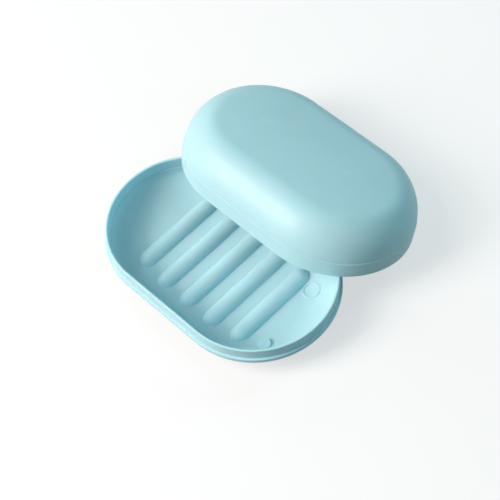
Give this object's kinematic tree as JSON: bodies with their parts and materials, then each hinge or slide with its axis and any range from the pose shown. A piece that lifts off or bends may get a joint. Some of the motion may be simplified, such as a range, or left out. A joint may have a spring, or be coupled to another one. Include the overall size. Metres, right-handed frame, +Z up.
{
  "type": "travel soap box",
  "caption": "Travel soap box with rounded ends: a shallow dish with cross ribs and a raised lip, and a domed lid, drawn taken off and leaning on the dish's rim.",
  "frame": {"origin": "on the table, in the middle of the rectangle that the dish and the lid cover together", "axes": "+Z up, square to the foot ring that the dish stands on; +X along the box; +Y from the dish to the lid that lies behind it"},
  "size_m": [0.11, 0.116, 0.0397],
  "materials": {
    "dish_plastic": "satin",
    "lid_plastic": "satin"
  },
  "bodies": {
    "dish": {"dish": "dish_plastic"},
    "lid": {"lid": "lid_plastic"}
  },
  "joints": [
    {"name": "lid_lift", "type": "slide", "parent": "dish", "child": "lid", "axis": [0, 0, 1], "range_m": [0, 0.06]}
  ]
}
